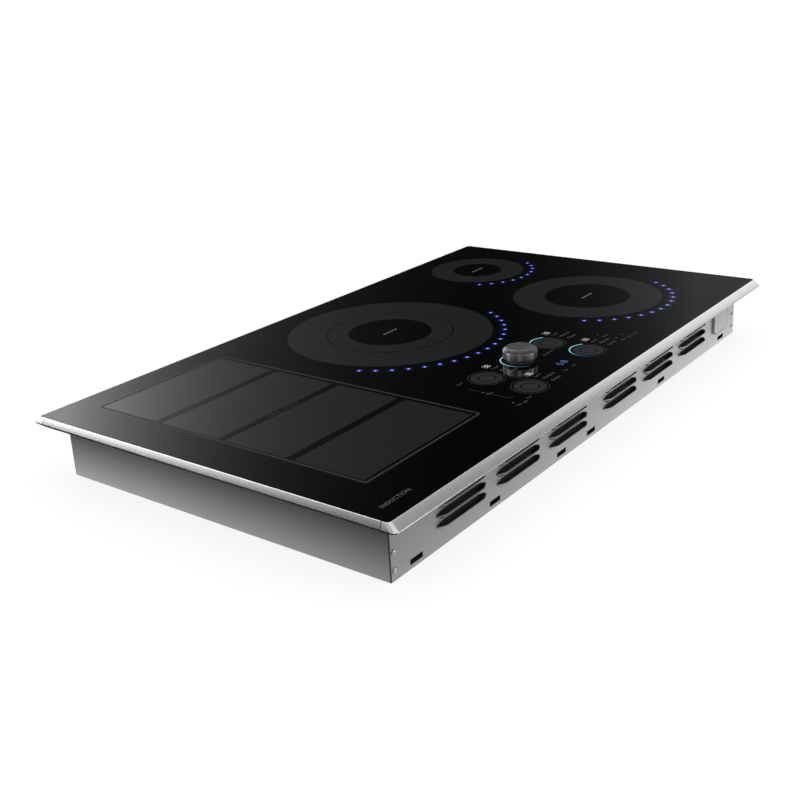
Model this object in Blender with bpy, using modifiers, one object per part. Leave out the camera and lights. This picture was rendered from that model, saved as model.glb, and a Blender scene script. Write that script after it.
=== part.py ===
"""Built-in electric induction cooktop, 36 inch class, with a lift-off magnetic control knob.

Frame: +X right, +Y back, +Z up, metres. The origin is the centre of the box's underside.
"""
import bpy
import bmesh
from math import cos, sin, radians
from mathutils import Vector

# ---------------------------------------------------------------- driving dimensions
OVERALL_WIDTH = 0.9144
OVERALL_DEPTH = 0.5334
BODY_HEIGHT = 0.0800            # underside of the box to the top of the glass
SIDE_OVERHANG = 0.0262          # top beyond the box at the left and right
FRONT_OVERHANG = 0.0297         # top beyond the box at the front and back
SHEET = 0.0010                  # panels, pan and coil tray
FRAME_SHEET = 0.0012
GAP = 0.0003                    # clearance between touching pieces

GLASS_THICKNESS = 0.0040
FRONT_TRIM_BAND = 0.0105        # plan width of the sloping front and back trims
SIDE_TRIM_BAND = 0.0028         # plan width of the steep side trims
TRIM_HEIGHT = 0.0090
TRIM_CREST = 0.0010
TRIM_LIP = 0.0015
TRIM_CORNER_RADIUS = 0.0100
TRIM_WRAP = 0.0240              # how far the front and back trims run round onto the sides
ADHESIVE_WIDTH = 0.0100
SEAL_HEIGHT = 0.0025
SEAL_INSET = 0.0050             # seal's outer edge inside the overall outline
FRAME_LAP = 0.0100              # frame's inner edge inside the box walls

PANEL_FLANGE = 0.0140           # return flanges of the side panels
LOUVRE_LENGTH = 0.0930
LOUVRE_TAPER = 0.0090
LOUVRE_PITCH = 0.0120
LOUVRE_HEIGHT = 0.0110          # one slot, from its upper edge to its lower edge
LOUVRE_REACH = 0.0065           # how far a louvre's lip stands out
LOUVRE_DROP = 0.0026            # lip below the slot's upper edge
LOUVRE_TOP = 0.0275             # first slot's upper edge below the glass
LOUVRE_BASE = 0.0120            # no slot reaches below this height
LOUVRE_COLUMNS = 3              # slots side by side in each group
LOUVRE_SPACING = 0.1120
LOUVRE_LEFT_INSET = 0.1210      # first slot's centre from the box's left side
LOUVRE_RIGHT_INSET = 0.1590     # last slot's centre from the box's right side
SLOT_WIDTH = 0.0210
SLOT_HEIGHT = 0.0060
SLOT_BASE = 0.0045
SLOTS_FROM_LEFT = (0.0410, 0.1840, 0.3290, 0.4020)
SLOTS_FROM_RIGHT = (0.2590, 0.0510)
ACCESS_WIDTH = 0.0480
ACCESS_HEIGHT = 0.0450
ACCESS_DEPTH = 0.0025
ACCESS_RADIUS = 0.0080
ACCESS_SIDE_INSET = 0.0340      # plate's edge from the box's right side
ACCESS_TOP_DROP = 0.0160

SCREW_HEAD_RADIUS = 0.0032
SCREW_HEAD_HEIGHT = 0.0014
SCREW_SHANK_RADIUS = 0.0018
SCREW_LENGTH = 0.0060
SCREW_INSET = 0.0060            # screw axis inside the box's outer side
SCREW_HEIGHTS = (0.0305, 0.0110)

TRAY_INSET = 0.0120             # coil tray's edge inside the box walls
TRAY_HOLE_RADIUS = 0.0120
COIL_CLEARANCE = 0.0079         # windings to the underside of the glass
POST_RADIUS = 0.0050
POST_SIDE_INSET = 0.0310        # post axes inside the box walls
POST_FRONT_INSET = 0.0370
CARRIER_THICKNESS = 0.0030
WINDING_THICKNESS = 0.0055
SENSOR_RADIUS = 0.0070
GUIDE_WIDTH = 0.0050

LARGE_CENTRE_X = -0.0070
LARGE_REAR_MARGIN = 0.0070      # carriers to the edges of the coil tray
RIGHT_FRONT_SIDE_MARGIN = 0.0470
RIGHT_FRONT_FRONT_MARGIN = 0.0440
RIGHT_REAR_SIDE_MARGIN = 0.0260
RIGHT_REAR_REAR_MARGIN = 0.0020
FLEX_SIDE_MARGIN = 0.0245
FLEX_FRONT_MARGIN = 0.0430
FLEX_REAR_MARGIN = 0.0140
FLEX_CELL_GAP = 0.0110
FLEX_COIL_WIDTH = 0.1800
FLEX_COIL_BORDER = 0.0050       # carrier beyond its windings
FLEX_WINDING_SIDE = 0.0320      # width of the windings along X and along Y
FLEX_WINDING_FRONT = 0.0280

BOARD_HEIGHT = 0.0093
BOARD_THICKNESS = 0.0016
PEG_RADIUS = 0.0030
PEG_INSET = 0.0100
BOARD_FRONT_INSET = 0.0470      # boards' front edges inside the front wall
HEATSINK_WIDTH = 0.0600
HEATSINK_HEIGHT = 0.0300
HEATSINK_FINS = 8
HEATSINK_INSET = 0.0100         # heatsink's ends inside its board's edges

FAN_RADIUS = 0.0550
FAN_WALL = 0.0025
FAN_HEIGHT = 0.0270
FAN_HUB_RADIUS = 0.0180
FAN_TIP_CLEARANCE = 0.0020
FAN_CENTRES = {"left": (-0.2300, 0.0900), "right": (0.2000, 0.0900)}
FAN_BLADES = 7
GRILLE_RADIUS = 0.0450          # round field of slots in the pan under each fan
GRILLE_PITCH = 0.0100
GRILLE_SLOTS = 4                # slots on each side of the middle one

KNOB_CENTRE_X = -0.0240
KNOB_FRONT_INSET = 0.1010       # knob's axis from the front wall
KNOB_RADIUS = 0.0215
KNOB_WALL = 0.0020
KNOB_TOP = 0.0185               # above the glass
KNOB_SKIRT = 0.0046             # skirt's lower edge above the glass
KNOB_FOOT_RADIUS = 0.0180
KNOB_SPINDLE_RADIUS = 0.0060

BUSHING_SIDE_INSET = 0.0610
BUSHING_HEIGHT = 0.0300
BUSHING_RADIUS = 0.0110
BUSHING_FLANGE = 0.0150

# ---------------------------------------------------------------- derived levels and edges
HALF_W, HALF_D = OVERALL_WIDTH / 2, OVERALL_DEPTH / 2
BOX_X, BOX_Y = HALF_W - SIDE_OVERHANG, HALF_D - FRONT_OVERHANG
GLASS_TOP = BODY_HEIGHT
GLASS_BOTTOM = GLASS_TOP - GLASS_THICKNESS
GLASS_X = HALF_W - SIDE_TRIM_BAND - GAP
GLASS_Y = HALF_D - FRONT_TRIM_BAND - GAP
GLASS_RADIUS = TRIM_CORNER_RADIUS / 2
TRIM_BOTTOM = GLASS_TOP - TRIM_HEIGHT
FRAME_TOP = TRIM_BOTTOM - GAP
FRAME_BOTTOM = FRAME_TOP - FRAME_SHEET
PANEL_TOP = FRAME_BOTTOM - GAP
TRAY_X, TRAY_Y = BOX_X - TRAY_INSET, BOX_Y - TRAY_INSET
WINDING_BOTTOM = GLASS_BOTTOM - COIL_CLEARANCE - WINDING_THICKNESS
CARRIER_TOP = WINDING_BOTTOM - GAP
CARRIER_BOTTOM = CARRIER_TOP - CARRIER_THICKNESS
TRAY_TOP = CARRIER_BOTTOM - GAP
TRAY_BOTTOM = TRAY_TOP - SHEET
BOARD_TOP = BOARD_HEIGHT + BOARD_THICKNESS
WRAP_Y = HALF_D - TRIM_WRAP
KNOB_CENTRE = (KNOB_CENTRE_X, KNOB_FRONT_INSET - BOX_Y)
BUSHING_CENTRE = (BOX_X - BUSHING_SIDE_INSET, BUSHING_HEIGHT)

LOUVRE_ROWS = int((GLASS_TOP - LOUVRE_TOP - LOUVRE_HEIGHT - LOUVRE_BASE) / LOUVRE_PITCH) + 1
LOUVRE_CENTRES = ([i * LOUVRE_SPACING + LOUVRE_LEFT_INSET - BOX_X for i in range(LOUVRE_COLUMNS)]
                  + [BOX_X - LOUVRE_RIGHT_INSET - i * LOUVRE_SPACING for i in range(LOUVRE_COLUMNS)])
SLOT_CENTRES = [inset - BOX_X for inset in SLOTS_FROM_LEFT] + [BOX_X - inset for inset in SLOTS_FROM_RIGHT]

FLEX_CELL_DEPTH = (2 * TRAY_Y - FLEX_FRONT_MARGIN - FLEX_REAR_MARGIN - 3 * FLEX_CELL_GAP) / 4
FLEX_CELL_PITCH = FLEX_CELL_DEPTH + FLEX_CELL_GAP
FLEX_COIL_DEPTH = FLEX_CELL_DEPTH - 2 * FLEX_COIL_BORDER
FLEX_CENTRE_X = FLEX_SIDE_MARGIN + FLEX_COIL_BORDER + FLEX_COIL_WIDTH / 2 - TRAY_X
FLEX_CENTRE_Y = (FLEX_FRONT_MARGIN - FLEX_REAR_MARGIN) / 2

# burner: carrier radius, windings (inner, outer), light ring radius and its arc in degrees
BURNERS = {
    "large": {"carrier": 0.1370, "light": 0.1570, "arc": (203, 331),
              "coils": {"inner": (0.0220, 0.0820), "outer": (0.0920, 0.1340)}},
    "right_front": {"carrier": 0.1050, "light": 0.1230, "arc": (206, 331),
                    "coils": {"main": (0.0250, 0.1020)}},
    "right_rear": {"carrier": 0.0720, "light": 0.0890, "arc": (215, 325),
                   "coils": {"main": (0.0200, 0.0690)}},
}
BURNERS["large"]["centre"] = (LARGE_CENTRE_X, TRAY_Y - LARGE_REAR_MARGIN - BURNERS["large"]["carrier"])
BURNERS["right_front"]["centre"] = (
    TRAY_X - RIGHT_FRONT_SIDE_MARGIN - BURNERS["right_front"]["carrier"],
    RIGHT_FRONT_FRONT_MARGIN + BURNERS["right_front"]["carrier"] - TRAY_Y)
BURNERS["right_rear"]["centre"] = (
    TRAY_X - RIGHT_REAR_SIDE_MARGIN - BURNERS["right_rear"]["carrier"],
    TRAY_Y - RIGHT_REAR_REAR_MARGIN - BURNERS["right_rear"]["carrier"])

# board: centre x, width, depth
BOARDS = {
    "inverter_board_left": (-0.2500, 0.3000, 0.1600),
    "inverter_board_right": (0.2100, 0.3000, 0.1600),
    "filter_board": (-0.0200, 0.1200, 0.1300),
}

for old in list(bpy.data.objects):
    bpy.data.objects.remove(old)

PARTS = bpy.data.collections.new("induction_cooktop")
CUTTERS = bpy.data.collections.new("cutters")
bpy.context.scene.collection.children.link(PARTS)
bpy.context.scene.collection.children.link(CUTTERS)


# ---------------------------------------------------------------- materials
def material(name, colour, roughness, metallic=0.0):
    """A Principled material with one colour, roughness and metallic value."""
    mat = bpy.data.materials.get(name) or bpy.data.materials.new(name)
    mat.use_nodes = True
    shader = mat.node_tree.nodes["Principled BSDF"]
    shader.inputs["Base Color"].default_value = (*colour, 1.0)
    shader.inputs["Roughness"].default_value = roughness
    shader.inputs["Metallic"].default_value = metallic
    mat.diffuse_color = (*colour, 1.0)
    return mat


STEEL = ((0.62, 0.63, 0.64), 0.32, 1.0)
SATIN = ((0.55, 0.55, 0.56), 0.28, 1.0)
GALVANISED = ((0.45, 0.46, 0.47), 0.45, 1.0)
ALUMINIUM = ((0.75, 0.76, 0.77), 0.40, 1.0)
COPPER = ((0.80, 0.42, 0.25), 0.35, 1.0)
GLASS_BLACK = ((0.008, 0.008, 0.009), 0.06, 0.0)
FOAM = ((0.03, 0.03, 0.03), 0.90, 0.0)
SILICONE = ((0.05, 0.05, 0.05), 0.60, 0.0)
PLASTIC = ((0.04, 0.04, 0.045), 0.55, 0.0)
MICA = ((0.62, 0.58, 0.50), 0.60, 0.0)
BOARD = ((0.05, 0.25, 0.10), 0.50, 0.0)
CERAMIC = ((0.85, 0.85, 0.82), 0.50, 0.0)
MAGNET = ((0.30, 0.30, 0.31), 0.30, 1.0)
DIFFUSER = ((0.80, 0.85, 0.90), 0.35, 0.0)


# ---------------------------------------------------------------- shape helpers
def place(name, mesh, finish, location=(0, 0, 0), rotation=(0, 0, 0), collection=PARTS):
    """A named object on a mesh, with its own material."""
    obj = bpy.data.objects.new(name, mesh)
    obj.location = location
    obj.rotation_euler = rotation
    collection.objects.link(obj)
    if finish:
        mesh.materials.append(material(name, *finish))
    return obj


def cutter(name, mesh, location=(0, 0, 0), rotation=(0, 0, 0)):
    """A mesh used only by Boolean modifiers."""
    obj = place(name, mesh, None, location, rotation, CUTTERS)
    obj.hide_render = True
    obj.display_type = "WIRE"
    return obj


def boolean(obj, other, operation):
    modifier = obj.modifiers.new(operation.lower(), "BOOLEAN")
    modifier.object = other
    modifier.operation = operation
    modifier.solver = "EXACT"


def mesh_of(bm, name):
    bmesh.ops.recalc_face_normals(bm, faces=bm.faces)
    mesh = bpy.data.meshes.new(name)
    bm.to_mesh(mesh)
    bm.free()
    return mesh


def cuboids(name, boxes):
    """One mesh of separate boxes, each (centre, size)."""
    bm = bmesh.new()
    for centre, size in boxes:
        cube = bmesh.ops.create_cube(bm, size=1.0)["verts"]
        bmesh.ops.scale(bm, verts=cube, vec=size)
        bmesh.ops.translate(bm, verts=cube, vec=centre)
    return mesh_of(bm, name)


def cylinders(name, rods, segments=24):
    """One mesh of separate upright cylinders, each (x, y, radius, bottom, top)."""
    bm = bmesh.new()
    for x, y, radius, bottom, top in rods:
        made = bmesh.ops.create_cone(bm, cap_ends=True, segments=segments, radius1=radius,
                                     radius2=radius, depth=top - bottom)["verts"]
        bmesh.ops.translate(bm, verts=made, vec=(x, y, (top + bottom) / 2))
    return mesh_of(bm, name)


def rectangle(half_x, half_y, centre=(0, 0)):
    cx, cy = centre
    return [(cx - half_x, cy - half_y), (cx + half_x, cy - half_y),
            (cx + half_x, cy + half_y), (cx - half_x, cy + half_y)]


def arc(centre, radius, start, end, steps):
    """Points along an arc, angles in degrees."""
    angles = [radians(start + (end - start) * i / steps) for i in range(steps + 1)]
    return [(centre[0] + radius * cos(a), centre[1] + radius * sin(a)) for a in angles]


def circle(centre, radius, steps):
    return arc(centre, radius, 0, 360, steps)[:-1]


def rounded(half_x, half_y, radius, centre=(0, 0), steps=6):
    """A rectangle with round corners, starting at the left end of its front edge."""
    cx, cy = centre
    x, y = half_x - radius, half_y - radius
    return (arc((cx - x, cy - y), radius, 180, 270, steps) + arc((cx + x, cy - y), radius, 270, 360, steps)
            + arc((cx + x, cy + y), radius, 0, 90, steps) + arc((cx - x, cy + y), radius, 90, 180, steps))


def sheet_mesh(name, outlines, thickness):
    """A flat plate from closed outlines in XY, the first outside and the rest holes, centred on z = 0."""
    curve = bpy.data.curves.new(name, "CURVE")
    curve.dimensions = "2D"
    curve.fill_mode = "BOTH"
    curve.extrude = thickness / 2
    for outline in outlines:
        spline = curve.splines.new("POLY")
        spline.points.add(len(outline) - 1)
        for point, (x, y) in zip(spline.points, outline):
            point.co = (x, y, 0, 1)
        spline.use_cyclic_u = True
    source = bpy.data.objects.new(name, curve)
    CUTTERS.objects.link(source)
    bpy.context.view_layer.update()
    depsgraph = bpy.context.evaluated_depsgraph_get()
    mesh = bpy.data.meshes.new_from_object(source.evaluated_get(depsgraph))
    bpy.data.objects.remove(source)
    bm = bmesh.new()
    bm.from_mesh(mesh)
    bmesh.ops.remove_doubles(bm, verts=bm.verts, dist=0.00001)
    bpy.data.meshes.remove(mesh)
    return mesh_of(bm, name)


def plate(name, outlines, bottom, top, finish):
    """A level plate between two heights."""
    mesh = sheet_mesh(name, outlines, top - bottom)
    return place(name, mesh, finish, (0, 0, (bottom + top) / 2))


def wall(name, outlines, outer, inner, finish):
    """An upright plate whose outlines are in XZ, between two places on Y."""
    mesh = sheet_mesh(name, outlines, abs(outer - inner))
    return place(name, mesh, finish, (0, (outer + inner) / 2, 0), (radians(90), 0, 0))


def turned(name, profile, centre, finish, rotation=(0, 0, 0), steps=48, closed=False):
    """A Screw-modifier solid from (radius, height) points that run down the outer side."""
    bm = bmesh.new()
    verts = [bm.verts.new((radius, 0, height)) for radius, height in profile]
    pairs = list(zip(verts, verts[1:]))
    if closed:
        pairs.append((verts[-1], verts[0]))
    for pair in pairs:
        bm.edges.new(pair)
    mesh = bpy.data.meshes.new(name)
    bm.to_mesh(mesh)
    bm.free()
    obj = place(name, mesh, finish, centre, rotation)
    screw = obj.modifiers.new("turn", "SCREW")
    screw.steps = steps
    screw.render_steps = steps
    screw.use_merge_vertices = True
    screw.merge_threshold = 0.00001
    screw.use_smooth_shade = False
    return obj


def ring(name, centre, inner, outer, bottom, top, finish, steps=36):
    """A flat turned ring."""
    profile = [(inner, top), (outer, top), (outer, bottom), (inner, bottom)]
    return turned(name, profile, (*centre, 0), finish, steps=steps, closed=True)


def loft(name, sections, finish):
    """A closed solid through equal-length cross sections, capped at both ends."""
    bm = bmesh.new()
    rows = [[bm.verts.new(point) for point in section] for section in sections]
    count = len(rows[0])
    for row, after in zip(rows, rows[1:]):
        for i in range(count):
            j = (i + 1) % count
            bm.faces.new((row[i], row[j], after[j], after[i]))
    bm.faces.new(rows[0])
    bm.faces.new(list(reversed(rows[-1])))
    return place(name, mesh_of(bm, name), finish)


def joint_empty(name, location):
    """An empty on a joint's axis, which the moving piece hangs from."""
    empty = bpy.data.objects.new(name, None)
    empty.location = location
    PARTS.objects.link(empty)
    return empty


def hang(obj, empty):
    """Parent a piece to an empty and keep the piece where it is."""
    obj.parent = empty
    obj.location = Vector(obj.location) - Vector(empty.location)


# ---------------------------------------------------------------- top: glass, trims, frame, seal
def make_glass():
    plate("glass_top", [rounded(GLASS_X, GLASS_Y, GLASS_RADIUS)], GLASS_BOTTOM, GLASS_TOP, GLASS_BLACK)
    outer = rectangle(GLASS_X - GLASS_RADIUS, GLASS_Y - GLASS_RADIUS)
    inner = rectangle(GLASS_X - GLASS_RADIUS - ADHESIVE_WIDTH, GLASS_Y - GLASS_RADIUS - ADHESIVE_WIDTH)
    plate("glass_adhesive", [outer, inner], FRAME_TOP + GAP, GLASS_BOTTOM - GAP, SILICONE)


def trim_outline(inset_x, inset_y, radius, side):
    """Half of the trim's path: front (side -1) or back (side 1), wrapped round both corners."""
    x, y = HALF_W - inset_x, HALF_D - inset_y
    if side < 0:
        corners = arc((-x + radius, -y + radius), radius, 180, 270, 6)
        corners += arc((x - radius, -y + radius), radius, 270, 360, 6)
    else:
        corners = arc((-x + radius, y - radius), radius, 180, 90, 6)
        corners += arc((x - radius, y - radius), radius, 90, 0, 6)
    end = side * WRAP_Y
    return [(-x, end)] + corners + [(x, end)]


def trim_levels():
    """Trim cross section: (inset in x, inset in y, corner radius, height)."""
    x, y = SIDE_TRIM_BAND, FRONT_TRIM_BAND
    inner = GLASS_RADIUS + GAP
    return [(x, y, inner, GLASS_TOP),
            (x - TRIM_CREST, y - TRIM_CREST, inner + TRIM_CREST, GLASS_TOP),
            (0.0, 0.0, TRIM_CORNER_RADIUS, TRIM_BOTTOM + TRIM_LIP),
            (0.0, 0.0, TRIM_CORNER_RADIUS, TRIM_BOTTOM),
            (x, y, inner, TRIM_BOTTOM)]


def make_trims():
    for name, side in (("trim_front", -1), ("trim_back", 1)):
        paths = [[(x, y, level[3]) for x, y in trim_outline(*level[:3], side)] for level in trim_levels()]
        loft(name, list(zip(*paths)), STEEL)
    for name, side in (("trim_left", -1), ("trim_right", 1)):
        ends = [[(side * (HALF_W - level[0]), end * (WRAP_Y - GAP), level[3]) for level in trim_levels()]
                for end in (-1, 1)]
        loft(name, ends, STEEL)


def make_frame():
    outer = rounded(HALF_W - TRIM_LIP, HALF_D - TRIM_LIP, TRIM_CORNER_RADIUS)
    inner = rectangle(BOX_X - FRAME_LAP, BOX_Y - FRAME_LAP)
    plate("support_frame", [outer, inner], FRAME_BOTTOM, FRAME_TOP, GALVANISED)
    outer = rounded(HALF_W - SEAL_INSET, HALF_D - SEAL_INSET, TRIM_CORNER_RADIUS)
    inner = rectangle(BOX_X + FRAME_SHEET, BOX_Y + LOUVRE_REACH + FRAME_SHEET)
    top = FRAME_BOTTOM - GAP
    plate("countertop_seal", [outer, inner], top - SEAL_HEIGHT, top, FOAM)


# ---------------------------------------------------------------- box: panels, pan, screws
def screw_places():
    """Screw axes as (name, x, side on y, height)."""
    x = BOX_X - SCREW_INSET
    return [(f"screw_{row}_{hand}_{level}", sx * x, sy, height)
            for row, sy in (("front", -1), ("back", 1))
            for hand, sx in (("left", -1), ("right", 1))
            for level, height in zip(("upper", "lower"), SCREW_HEIGHTS)]


def screw_holes():
    """Outlines in XZ of the back wall's screw holes."""
    radius = SCREW_SHANK_RADIUS + GAP
    return [circle((x, height), radius, 16) for _, x, side, height in screw_places() if side > 0]


def screw_drill(name, places):
    """Cutter of upright rods turned to run along Y, one through the wall at each screw."""
    rods = [(x, -height, SCREW_SHANK_RADIUS + GAP, side * BOX_Y - 0.01, side * BOX_Y + 0.01)
            for _, x, side, height in places]
    return cutter(name, cylinders(name, rods, 16), rotation=(radians(-90), 0, 0))


def louvre_solids(name, shrink, reach_in):
    """Tapered wedges that stand out of the front panel; shrink is the sheet left around a cutter."""
    bm = bmesh.new()
    for centre in LOUVRE_CENTRES:
        for row in range(LOUVRE_ROWS):
            top = GLASS_TOP - LOUVRE_TOP - row * LOUVRE_PITCH
            verts = bmesh.ops.create_cube(bm, size=2.0)["verts"]
            for vert in verts:
                sx, sy, sz = vert.co
                lip = sy < 0
                half = LOUVRE_LENGTH / 2 - shrink - (LOUVRE_TAPER if lip else 0.0)
                if sz > 0:
                    height = top - (LOUVRE_DROP if lip and not shrink else 0.0)
                elif lip:
                    height = top - LOUVRE_DROP - SHEET + shrink
                else:
                    height = top - LOUVRE_HEIGHT + 2 * shrink
                depth = BOX_Y + LOUVRE_REACH if lip else BOX_Y - reach_in
                vert.co = (centre + sx * half, -depth, height)
    return mesh_of(bm, name)


def make_front_panel():
    middle = -BOX_Y + SHEET / 2
    sheet = ((0, middle, PANEL_TOP / 2), (2 * BOX_X, SHEET, PANEL_TOP))
    panel = place("front_panel", cuboids("front_panel", [sheet]), STEEL)
    slots = [((x, middle, SLOT_BASE + SLOT_HEIGHT / 2), (SLOT_WIDTH, 4 * SHEET, SLOT_HEIGHT))
             for x in SLOT_CENTRES]
    boolean(panel, cutter("front_slots", cuboids("front_slots", slots)), "DIFFERENCE")
    boolean(panel, screw_drill("front_screw_holes", [s for s in screw_places() if s[2] < 0]), "DIFFERENCE")
    hoods = cutter("louvre_hoods", louvre_solids("louvre_hoods", 0.0, SHEET / 2))
    throats = cutter("louvre_throats", louvre_solids("louvre_throats", SHEET, 2 * SHEET))
    boolean(panel, hoods, "UNION")
    boolean(panel, throats, "DIFFERENCE")


def make_access_plate():
    height = GLASS_TOP - ACCESS_TOP_DROP - ACCESS_HEIGHT / 2
    centre = BOX_X - ACCESS_SIDE_INSET - ACCESS_WIDTH / 2
    outline = rounded(ACCESS_WIDTH / 2, ACCESS_HEIGHT / 2, ACCESS_RADIUS, (centre, height))
    outer = -BOX_Y - GAP - ACCESS_DEPTH
    wall("access_plate", [outline], outer, -BOX_Y - GAP, STEEL)


def make_back_panel():
    edge = rectangle(BOX_X, PANEL_TOP / 2, (0, PANEL_TOP / 2))
    inlet = circle(BUSHING_CENTRE, BUSHING_RADIUS + GAP, 32)
    wall("back_panel", [edge, inlet] + screw_holes(), BOX_Y, BOX_Y - SHEET, GALVANISED)


def make_side_panels():
    y = BOX_Y - SHEET - GAP
    for name, side in (("left_panel", -1), ("right_panel", 1)):
        x, inner = side * BOX_X, side * (BOX_X - SHEET)
        lip = side * (BOX_X - PANEL_FLANGE)
        outline = [(x, -y), (x, y), (lip, y), (lip, y - SHEET), (inner, y - SHEET),
                   (inner, -y + SHEET), (lip, -y + SHEET), (lip, -y)]
        panel = plate(name, [outline], 0, PANEL_TOP, STEEL)
        drill = screw_drill(f"{name}_screw_holes", [s for s in screw_places() if s[1] * side > 0])
        boolean(panel, drill, "DIFFERENCE")


def board_centre_y(depth):
    return BOARD_FRONT_INSET + depth / 2 - BOX_Y


def make_pan():
    x = BOX_X - SHEET - GAP
    y = BOX_Y - 2 * SHEET - 2 * GAP
    slots = []
    for cx, cy in FAN_CENTRES.values():
        for i in range(-GRILLE_SLOTS, GRILLE_SLOTS + 1):
            offset = i * GRILLE_PITCH
            length = 2 * (GRILLE_RADIUS ** 2 - offset ** 2) ** 0.5
            slots.append(((cx, cy + offset, SHEET / 2), (length, GRILLE_PITCH / 2, 4 * SHEET)))
    pan = plate("bottom_pan", [rectangle(x, y)], 0, SHEET, GALVANISED)
    posts = [(px, py, POST_RADIUS, SHEET / 2, TRAY_BOTTOM - GAP)
             for px in (POST_SIDE_INSET - BOX_X, 0.0, BOX_X - POST_SIDE_INSET)
             for py in (POST_FRONT_INSET - BOX_Y, BOX_Y - POST_FRONT_INSET)]
    for cx, width, depth in BOARDS.values():
        cy = board_centre_y(depth)
        posts += [(cx + sx * (width / 2 - PEG_INSET), cy + sy * (depth / 2 - PEG_INSET), PEG_RADIUS,
                   SHEET / 2, BOARD_HEIGHT - GAP) for sx in (-1, 1) for sy in (-1, 1)]
    boolean(pan, cutter("pan_posts", cylinders("pan_posts", posts, 12)), "UNION")
    boolean(pan, cutter("pan_grilles", cuboids("pan_grilles", slots)), "DIFFERENCE")


def make_screws():
    head, shank = SCREW_HEAD_RADIUS, SCREW_SHANK_RADIUS
    profile = [(0, SCREW_HEAD_HEIGHT), (head * 0.7, SCREW_HEAD_HEIGHT), (head, SCREW_HEAD_HEIGHT / 2),
               (head, 0), (shank, 0), (shank, -SCREW_LENGTH), (0, -SCREW_LENGTH)]
    for name, x, side, height in screw_places():
        turned(name, profile, (x, side * (BOX_Y + GAP), height), STEEL,
               rotation=(radians(-90 * side), 0, 0), steps=16)


def make_bushing():
    x, height = BUSHING_CENTRE
    inner = BUSHING_RADIUS - 0.002
    profile = [(inner, 0.003), (BUSHING_FLANGE - 0.001, 0.003), (BUSHING_FLANGE, 0.002), (BUSHING_FLANGE, 0),
               (BUSHING_RADIUS, 0), (BUSHING_RADIUS, -0.008), (inner, -0.008)]
    turned("conduit_bushing", profile, (x, BOX_Y + GAP, height), PLASTIC,
           rotation=(radians(-90), 0, 0), steps=32, closed=True)


# ---------------------------------------------------------------- heating: tray, coils, sensors, lights
def make_coil_tray():
    holes = [circle(burner["centre"], TRAY_HOLE_RADIUS, 24) for burner in BURNERS.values()]
    plate("coil_tray", [rectangle(TRAY_X, TRAY_Y)] + holes, TRAY_BOTTOM, TRAY_TOP, ALUMINIUM)


def make_burners():
    for place_name, burner in BURNERS.items():
        centre = burner["centre"]
        ring(f"coil_carrier_{place_name}", centre, TRAY_HOLE_RADIUS, burner["carrier"], CARRIER_BOTTOM,
             CARRIER_TOP, MICA)
        for coil, (inner, outer) in burner["coils"].items():
            tail = "" if coil == "main" else f"_{coil}"
            ring(f"coil_{place_name}{tail}", centre, inner, outer, WINDING_BOTTOM,
                 WINDING_BOTTOM + WINDING_THICKNESS, COPPER)
        turned(f"temperature_sensor_{place_name}", [
            (0, GLASS_BOTTOM - GAP), (SENSOR_RADIUS, GLASS_BOTTOM - GAP), (SENSOR_RADIUS, CARRIER_BOTTOM),
            (0, CARRIER_BOTTOM)], (*centre, 0), CERAMIC, steps=20)
        start, end = burner["arc"]
        outer = arc(centre, burner["light"] + GUIDE_WIDTH / 2, start, end, 20)
        inner = arc(centre, burner["light"] - GUIDE_WIDTH / 2, end, start, 20)
        plate(f"light_guide_{place_name}", [outer + inner], TRAY_TOP + GAP, GLASS_BOTTOM - GAP, DIFFUSER)


def make_flex_zone():
    x = FLEX_CENTRE_X
    for pair, start in (("front", -1.5), ("rear", 0.5)):
        middle = FLEX_CENTRE_Y + (start + 0.5) * FLEX_CELL_PITCH
        half_depth = (FLEX_CELL_PITCH + FLEX_CELL_DEPTH) / 2
        outline = rounded(FLEX_COIL_WIDTH / 2 + FLEX_COIL_BORDER, half_depth, 0.010, (x, middle), 3)
        plate(f"coil_carrier_flex_{pair}", [outline], CARRIER_BOTTOM, CARRIER_TOP, MICA)
    for i in range(4):
        y = FLEX_CENTRE_Y + (i - 1.5) * FLEX_CELL_PITCH
        outer = rounded(FLEX_COIL_WIDTH / 2, FLEX_COIL_DEPTH / 2, 0.022, (x, y), 5)
        inner = rounded(FLEX_COIL_WIDTH / 2 - FLEX_WINDING_SIDE, FLEX_COIL_DEPTH / 2 - FLEX_WINDING_FRONT, 0.008,
                        (x, y), 5)
        plate(f"coil_flex_{i + 1}", [outer, inner], WINDING_BOTTOM, WINDING_BOTTOM + WINDING_THICKNESS, COPPER)


# ---------------------------------------------------------------- electronics
def heatsink_outline(width, height, base, fins, fin_width):
    """Comb outline in XZ with its base at z = 0."""
    pitch = (width - fin_width) / (fins - 1)
    points = [(-width / 2, 0), (width / 2, 0)]
    for i in range(fins - 1, -1, -1):
        left = -width / 2 + i * pitch
        right = left + fin_width
        points += [(right, height), (left, height)]
        if i:
            points += [(left, base), (left - pitch + fin_width, base)]
    return points


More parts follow.
